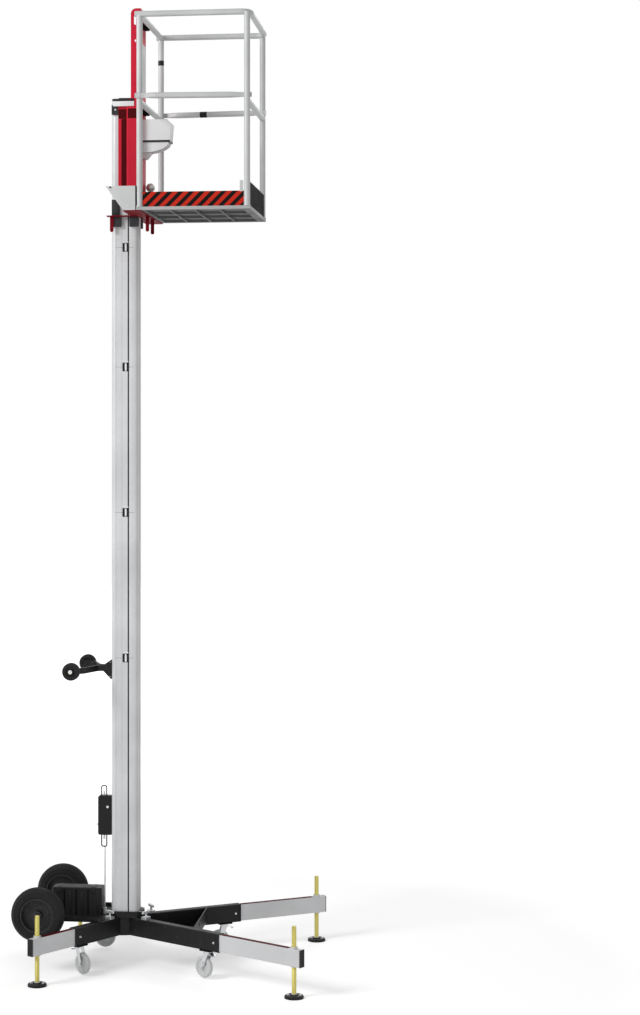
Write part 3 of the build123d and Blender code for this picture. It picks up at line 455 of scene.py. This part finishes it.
# Outriggers: light collars at the jack, a thin strip along the top, a sleeve and cap at the end
collar = (0.0145, 0.021)
sleeve_reach = 0.0525
sleeve_size = (0.004, 0.0422, 0.0962)
cap_reach = 0.0546
cap_size = (0.001, 0.0406, 0.0946)
for name, heading, arm_reach, caster_reach, jack_reach, trail in legs:
    out = radial(heading)
    body = f"outrigger_{name}"
    foot = on_leg(heading, jack_reach, 0, 0)
    bm = bmesh.new()
    add_band(bm, foot, UP, *collar, nut_low + 0.0002, nut_low + 0.002)
    add_band(bm, foot, UP, *collar, nut_high - 0.0013, nut_high + 0.001)
    keep(bm, f"jack_collars_{name}", body, "nut_light", slot="zinc_yellow")
    bm = bmesh.new()
    add_box(bm, on_leg(heading, jack_reach + sleeve_reach, 0, arm_middle), sleeve_size, out, 0.001)
    add_box(bm, on_leg(heading, jack_reach + cap_reach, 0, arm_middle), cap_size, out)
    keep(bm, f"tube_cap_{name}", body, "box_plastic")
    bm = bmesh.new()
    start = arm_reach + 0.004
    stop = jack_reach - 0.03
    middle = on_leg(heading, (start + stop) / 2, 0, tube_top + 0.0001)
    add_box(bm, middle, (stop - start, 0.034, 0.0005), out)
    keep(bm, f"tube_strip_{name}", body, "maroon_strip_and_painted_shade", slot="red_steel")

# Arms: lock pins on the sides, bands round the open ends, caster plate bolts
bm = bmesh.new()
bands = bmesh.new()
for name, heading, arm_reach, caster_reach, jack_reach, trail in legs:
    out = radial(heading)
    across = UP.cross(out)
    for side in (-1, 1):
        start = on_leg(heading, arm_reach - 0.035, side * 0.0248, arm_middle)
        add_rod(bm, start, start + across * side * 0.003, 0.006, 24)
        add_rod(bm, start, start + across * side * 0.009, 0.004, 20)
        add_box(
            bands,
            on_leg(heading, arm_reach - 0.006, side * 0.0258, arm_middle),
            (0.012, 0.0028, 0.09),
            out,
            0.0008,
            1,
        )
    for along in (-0.032, 0.032):
        for across_plate in (-0.022, 0.022):
            spot = on_leg(heading, caster_reach + along, across_plate, arm_bottom - 0.0048)
            add_bolt(bm, spot, -UP, 0.0045)
keep(bm, "arm_pins", "base", "zinc_steel")
keep(bands, "arm_end_bands", "base", "black_steel")

# Casters: tread lines, web rivets, a ring round each fork's head and a step on each pedal
caster_offset = 0.03
caster_axle_z = 0.068
for name, heading, arm_reach, caster_reach, jack_reach, trail in legs:
    ahead = radial(trail)
    axis = UP.cross(ahead)
    swivel = on_leg(heading, caster_reach, 0, 0)
    hub = swivel + ahead * caster_offset + UP * caster_axle_z
    bm = bmesh.new()
    for offset in (-0.006, 0.006):
        add_rib(bm, hub, axis, 0.0572, 0.0594, offset, 0.0022, 0.0014)
    for side in (-1, 1):
        for step in range(6):
            t = step * pi / 3
            spot = hub + (ahead * cos(t) + UP * sin(t)) * 0.032 + axis * side * 0.0078
            add_rod(bm, spot, spot + axis * side * 0.0012, 0.0035, 12)
    keep(bm, f"caster_tread_{name}", f"wheel_{name}", "caster_grey")
    bm = bmesh.new()
    add_band(bm, swivel, UP, 0.0215, 0.0232, 0.1558, 0.1602)
    add_box(bm, swivel - ahead * 0.046 + UP * 0.1385, (0.014, 0.042, 0.005), ahead, 0.0012)
    keep(bm, f"caster_trim_{name}", f"fork_{name}", "caster_chrome")

# Transport wheels: tyres with four fine grooves, ringed rims and hub bolts, caps on the axle
rim_face = 0.0048
for name, side in sides:
    hub = mast_point(wheel_x, side * 0.341, wheel_z)
    body = f"transport_wheel_{name}"
    bm = bmesh.new()
    outline = [(0.096, -0.04), (0.104, -0.046), (0.118, -0.0465), (0.122, -0.0458), (0.132, -0.0458)]
    crown = [(0.1482, -0.0295)]
    for groove in (-0.021, -0.007, 0.007, 0.021):
        lift = 0.1538 - abs(groove) * 0.16
        crown += [
            (lift, groove - 0.0028),
            (lift - 0.0035, groove - 0.0018),
            (lift - 0.0035, groove + 0.0018),
            (lift, groove + 0.0028),
        ]
    crown.append((0.1482, 0.0295))
    mirrored = [(radius, -offset) for radius, offset in reversed(outline)]
    add_ring(bm, hub, FAR, outline + crown + mirrored, 96)
    keep(bm, f"tyre_carcass_{name}", body, "tyre_rubber", f"transport_tyre_{name}")
    bm = bmesh.new()
    for face in (-1, 1):
        for radius in (0.05, 0.066, 0.08):
            add_ring(
                bm,
                hub + FAR * face * rim_face,
                FAR * face,
                (
                    (radius - 0.002, 0),
                    (radius - 0.0012, 0.002),
                    (radius + 0.0012, 0.002),
                    (radius + 0.002, 0),
                ),
                64,
            )
        for step in range(5):
            t = 2 * pi * step / 5
            spot = hub + Vector((cos(t), 0, sin(t))) * 0.058 + FAR * face * rim_face
            add_bolt(bm, spot, FAR * face, 0.005)
    keep(bm, f"rim_rings_{name}", body, "rim_dark", slot="black_steel")

bm = bmesh.new()
for side in (-1, 1):
    spot = mast_point(wheel_x, side * 0.3905, wheel_z)
    add_rod(bm, spot, spot + FAR * side * 0.004, 0.0115, 6)
keep(bm, "axle_caps", "base", "rim_dark", slot="black_steel")

# Mast: seams between the sections, latch pins, a bright strip above each latch, cap screws
bm = bmesh.new()
seams = bmesh.new()
for z in mast_joints:
    for side in (-1, 1):
        out = FAR * side
        face = mast_point(0.007, side * 0.06, z)
        for rise in (-0.018, 0.018):
            add_rod(bm, face + UP * rise, face + UP * rise + out * 0.0028, 0.005, 20)
        add_box(bm, face + out * 0.0008, (0.011, 0.0022, 0.03), bevel=0.0007, segments=1)
        add_box(bm, mast_point(0.007, side * 0.0592, z + 0.031), (0.03, 0.0016, 0.007))
        for x, length in ((-0.033, 0.04), (0.04, 0.026)):
            add_box(seams, mast_point(x, side * 0.0582, z), (length, 0.0009, 0.0012))
keep(bm, "latch_pins", "base", "zinc_steel")
keep(seams, "section_seams", "base", "plate_dark", slot="black_steel")
bm = bmesh.new()
for x in (-0.06, 0.06):
    for y in (-0.04, 0.04):
        add_bolt(bm, mast_point(x, y, mast_cap_top - 0.0005), UP, 0.0045)
keep(bm, "cap_bolts", "base", "zinc_steel")

# Loading rollers: light bolt heads, yoke bolts, fine ribs round the rubber
bm = bmesh.new()
for side in (-1, 1):
    spot = mast_point(roller_x, side * 0.2725, roller_z)
    add_rod(bm, spot, spot + FAR * side * 0.0012, 0.0115, 24)
keep(bm, "roller_dots", "base", "nut_light", slot="zinc_steel")
bm = bmesh.new()
for y in (-0.036, 0.036):
    for z in (1.655, 1.737):
        add_bolt(bm, mast_point(-0.0864, y, z), -FORWARD, 0.0045)
keep(bm, "roller_bolts", "base", "zinc_steel")
for name, side in sides:
    bm = bmesh.new()
    hub = mast_point(roller_x, side * 0.244, roller_z)
    for offset in (-0.009, 0, 0.009):
        add_rib(bm, hub, FAR, 0.0485, 0.0499, offset, 0.0016, 0.001)
    keep(bm, f"roller_ribs_{name}", f"loading_roller_{name}", "roller_rubber")

# Tensioner: ribs along the case, a boss on each side, its screw and the line's shackles
bm = bmesh.new()
for side in (-1, 1):
    for x in (-0.149, -0.12, -0.092):
        add_box(bm, mast_point(x, side * 0.0226, 0.85), (0.006, 0.0016, 0.19), bevel=0.0006, segments=1)
keep(bm, "tensioner_ribs", "base", "black_steel")
bm = bmesh.new()
add_rod(bm, mast_point(-0.1615, 0, 0.795), mast_point(-0.1725, 0, 0.795), 0.005, 20)
add_rod(bm, mast_point(-0.13, 0, 0.9635), mast_point(-0.13, 0, 0.99), 0.006, 16)
add_rod(bm, mast_point(-0.13, 0, 0.7375), mast_point(-0.13, 0, 0.71), 0.006, 16)
for side in (-1, 1):
    spot = mast_point(-0.106, side * 0.0225, 0.9)
    add_rod(bm, spot, spot + FAR * side * 0.005, 0.007, 20)
keep(bm, "tensioner_screws", "base", "zinc_steel")

# Battery box: ribs between the grooves of its sides, straps over the lid, catches at its edge
battery_half = 0.052
battery_top = 0.435
bm = bmesh.new()
for side in (-1, 1):
    for x in (-0.41, -0.32, -0.25, -0.16):
        add_box(bm, mast_point(x, side * (battery_half + 0.0004), 0.35), (0.012, 0.002, 0.13), bevel=0.0008)
for y in (-0.026, 0, 0.026):
    add_box(bm, mast_point(-0.4282, y, 0.35), (0.002, 0.01, 0.13), bevel=0.0008)
for x in (-0.385, -0.185):
    add_box(bm, mast_point(x, 0, battery_top + 0.0006), (0.024, 0.094, 0.002), bevel=0.0008)
for side in (-1, 1):
    for x in (-0.385, -0.185):
        spot = mast_point(x, side * (battery_half + 0.001), 0.415)
        add_box(bm, spot, (0.02, 0.003, 0.028), bevel=0.001)
keep(bm, "battery_ribs", "base", "box_plastic")

# Front web and pedestal bolts
bm = bmesh.new()
for y in (-0.2, -0.07, 0.07, 0.2):
    add_bolt(bm, mast_point(0.4368, y, 0.245), FORWARD, 0.005)
keep(bm, "web_bolts", "base", "black_steel")
bm = bmesh.new()
for x in (-0.0875, 0.0875):
    for y in (-0.052, 0.052):
        add_bolt(bm, mast_point(x, y, mast_foot - 0.0005), UP, 0.004)
keep(bm, "base_bolts", "base", "zinc_steel")

# Carriage: blank plates on its web, light and dark bars across its sides, dark sheets that paint
# the shade in the flanges' recesses and across their tops, rear guide pads, pins and bolts
web_face = 0.1006
flange_face = 0.0702
gusset_face = 0.3848
bm = bmesh.new()
add_box(bm, mast_point(web_face, 0, 5.154), (0.0012, 0.15, 0.3), bevel=0.0003, segments=1)
keep(bm, "web_sheet", "carriage", "plate_grey", slot="control_grey")
bm = bmesh.new()
for side in (-1, 1):
    plate = mast_point(web_face, side * 0.0715, 4.697)
    add_box(bm, plate, (0.0012, 0.027, 0.104), bevel=0.0003, segments=1)
    add_box(bm, mast_point(-0.001, side * 0.0815, 4.954), (0.124, 0.023, 0.028), bevel=0.0008)
keep(bm, "web_plates", "carriage", "plate_white", slot="control_grey")
bm = bmesh.new()
for side in (-1, 1):
    add_box(bm, mast_point(-0.001, side * 0.0813, 4.976), (0.124, 0.0226, 0.014), bevel=0.0008)
keep(bm, "carriage_bars", "carriage", "plate_dark", slot="board_black")
# Thin maroon sheets painted as the shade in the flanges' recesses and across their tops.
bm = bmesh.new()
for side in (-1, 1):
    for x, y, z, length, height in (
        (-0.0015, flange_face, 4.677, 0.03, 0.384),
        (-0.0105, flange_face, 4.8975, 0.048, 0.055),
        (0.057, 0.0902, 4.8975, 0.066, 0.055),
    ):
        painted_shade_sheet = mast_point(x, side * y, z)
        add_box(bm, painted_shade_sheet, (length, 0.001, height), bevel=0.0003, segments=1)
keep(bm, "flange_painted_shade", "carriage", "maroon_strip_and_painted_shade", slot="red_steel")
bm = bmesh.new()
for side in (-1, 1):
    add_box(bm, mast_point(-0.0505, side * 0.0648, 4.358), (0.046, 0.0106, 0.0946), bevel=0.001)
keep(bm, "lower_pads", "carriage", "slider_plastic")
bm = bmesh.new()
for side in (-1, 1):
    add_bolt(bm, mast_point(-0.022, side * gusset_face, 4.439), FAR * side, 0.0045)
keep(bm, "gusset_pins", "carriage", "plate_dark", slot="board_black")
bm = bmesh.new()
for side in (-1, 1):
    add_bolt(bm, mast_point(-0.052, side * 0.0698, 4.923), FAR * side, 0.004)
    for x, z in ((0.1, 4.425), (0.08, 4.335), (-0.02, 4.43)):
        add_bolt(bm, mast_point(x, side * gusset_face, z), FAR * side, 0.0045)
keep(bm, "carriage_bolts", "carriage", "zinc_steel")

# Rails: tube caps, weld rings, rivets through the flattened ends, dark bands
bm = bmesh.new()
welds = bmesh.new()
rivets = bmesh.new()
weld_outline = ((0.0168, 0), (0.021, 0), (0.0195, 0.006), (0.0168, 0.0065))
band = (0.0168, 0.0178)
for side in (-1, 1):
    start = mast_point(0.1165, side * rail_y, rail_z)
    add_rod(bm, start, start + FORWARD * 0.006, 0.0169, 32)
    for x in (rear_post_x, front_post_x):
        add_ring(welds, mast_point(x, side * rail_y, deck_top), UP, weld_outline, 32)
    add_bolt(rivets, mast_point(rear_post_x, side * 0.3935, mid_z), FAR * side, 0.006)
    add_bolt(rivets, mast_point(front_post_x, side * 0.3465, mid_z), -FAR * side, 0.006)
add_band(bm, mast_point(rear_post_x, rail_y, 5.26), UP, *band, -0.015, 0.015)
add_band(bm, mast_point(0.398, 0.3731, mid_z), Vector((1, -0.0641, 0)), *band, -0.021, 0.021)
keep(bm, "rail_caps", "carriage", "box_plastic")
keep(welds, "post_welds", "carriage", "rail_aluminium")
keep(rivets, "rail_bolts", "carriage", "zinc_steel")

# Deck: ribs along its tread, toe board bolts, light edges at the front, tabs by the front posts
bm = bmesh.new()
for step in range(24):
    y = -0.345 + step * 0.03
    add_box(bm, mast_point(0.446, y, tread_top + 0.0005), (0.556, 0.007, 0.0014))
keep(bm, "deck_ribs", "carriage", "deck_aluminium")
bm = bmesh.new()
for side in (-1, 1):
    for x in (0.2, 0.45, 0.7):
        add_bolt(bm, mast_point(x, side * 0.3675, 4.345), -FAR * side, 0.004)
keep(bm, "board_bolts", "carriage", "zinc_steel")
bm = bmesh.new()
add_box(bm, mast_point(0.7605, 0, board_top + 0.0008), (0.0066, 0.669, 0.0026), bevel=0.0005, segments=1)
for side in (-1, 1):
    tab = mast_point(0.719, side * 0.3735, 4.44)
    add_box(bm, tab, (0.02, 0.0024, 0.062), bevel=0.0006, segments=1)
keep(bm, "board_edges", "carriage", "rail_aluminium")

# Control box: the dark line between its lid and belly, and the lid's screws
bm = bmesh.new()
add_box(bm, mast_point(0.1815, 0, 4.741), (0.1635, 0.1114, 0.011), bevel=0.0008, segments=1)
keep(bm, "box_line", "carriage", "plate_dark", slot="board_black")
bm = bmesh.new()
for x in (0.12, 0.23):
    for y in (-0.042, 0.042):
        add_bolt(bm, mast_point(x, y, 4.8665), UP, 0.003)
keep(bm, "box_screws", "carriage", "zinc_steel")


# White ground that keeps a soft shadow, and a white surround
def when_seen(tree):
    """One for the camera and for mirror-like surfaces, and nothing for the light itself."""
    ray = tree.nodes.new("ShaderNodeLightPath")
    direct = sum_of(tree, "ADD", ray.outputs["Is Camera Ray"], ray.outputs["Is Glossy Ray"])
    return sum_of(tree, "ADD", direct, ray.outputs["Is Transmission Ray"])


floor_half = 30.0
glow_start = 2.5
glow_end = 7.0
glow_near = 0.42
bm = bmesh.new()
bmesh.ops.create_grid(bm, x_segments=1, y_segments=1, size=floor_half)
floor_mesh = bpy.data.meshes.new("floor")
bm.to_mesh(floor_mesh)
bm.free()
floor = bpy.data.objects.new("floor", floor_mesh)
scene.collection.objects.link(floor)
floor_look = bpy.data.materials.new("floor")
floor_look.use_nodes = True
floor_shader = floor_look.node_tree.nodes["Principled BSDF"]
floor_shader.inputs["Base Color"].default_value = (0.9, 0.9, 0.9, 1)
floor_shader.inputs["Roughness"].default_value = 0.9
floor_shader.inputs["Specular IOR Level"].default_value = 0.0
floor_shader.inputs["Emission Color"].default_value = (1, 1, 1, 1)
tree = floor_look.node_tree
spot = tree.nodes.new("ShaderNodeTexCoord")
away = tree.nodes.new("ShaderNodeVectorMath")
away.operation = "LENGTH"
tree.links.new(spot.outputs["Object"], away.inputs[0])
distance = ramp(tree, away.outputs["Value"], glow_start, glow_end, glow_near, 1.0)
glow = sum_of(tree, "MULTIPLY", when_seen(tree), distance)
tree.links.new(glow, floor_shader.inputs["Emission Strength"])
floor.data.materials.append(floor_look)

world = bpy.data.worlds.new("surround")
scene.world = world
world.use_nodes = True
backdrop = world.node_tree.nodes["Background"]
backdrop.inputs["Color"].default_value = (1, 1, 1, 1)
tree = world.node_tree
tree.links.new(ramp(tree, when_seen(tree), 0, 1, 0.34, 1.0), backdrop.inputs["Strength"])

# Soft lamps: name, strength, place, the point that each faces, and size
for name, strength, place, aim, size in (
    ("key", 735.0, (-7.5, -7.0, 8.0), (-0.1, 0, 2.6), 4.0),
    ("fill", 70.0, (7.0, -7.0, 4.0), (-0.1, 0, 2.2), 5.0),
    ("back", 110.0, (2.0, 7.0, 7.5), (-0.1, 0, 2.6), 4.0),
):
    data = bpy.data.lights.new(name, "AREA")
    data.energy = strength
    data.size = size
    lamp = bpy.data.objects.new(name, data)
    lamp.location = place
    lamp.rotation_euler = (Vector(aim) - Vector(place)).to_track_quat("-Z", "Y").to_euler()
    scene.collection.objects.link(lamp)

# The camera, fitted to the photograph
sensor_width = 36.0
focal_pixels = 2146.51
picture_height = 1015
camera_data = bpy.data.cameras.new("camera")
camera_data.sensor_fit = "AUTO"
camera_data.sensor_width = sensor_width
camera_data.lens = focal_pixels * sensor_width / picture_height
camera_data.shift_x = 0.07767
camera_data.shift_y = -0.07248
camera_data.clip_end = 200.0
camera = bpy.data.objects.new("camera", camera_data)
camera.location = (1.97877, -12.2382, 3.0562)
camera.rotation_euler = (pi / 2, 0, 0.1268)
scene.collection.objects.link(camera)
scene.camera = camera
scene.view_settings.view_transform = "Standard"
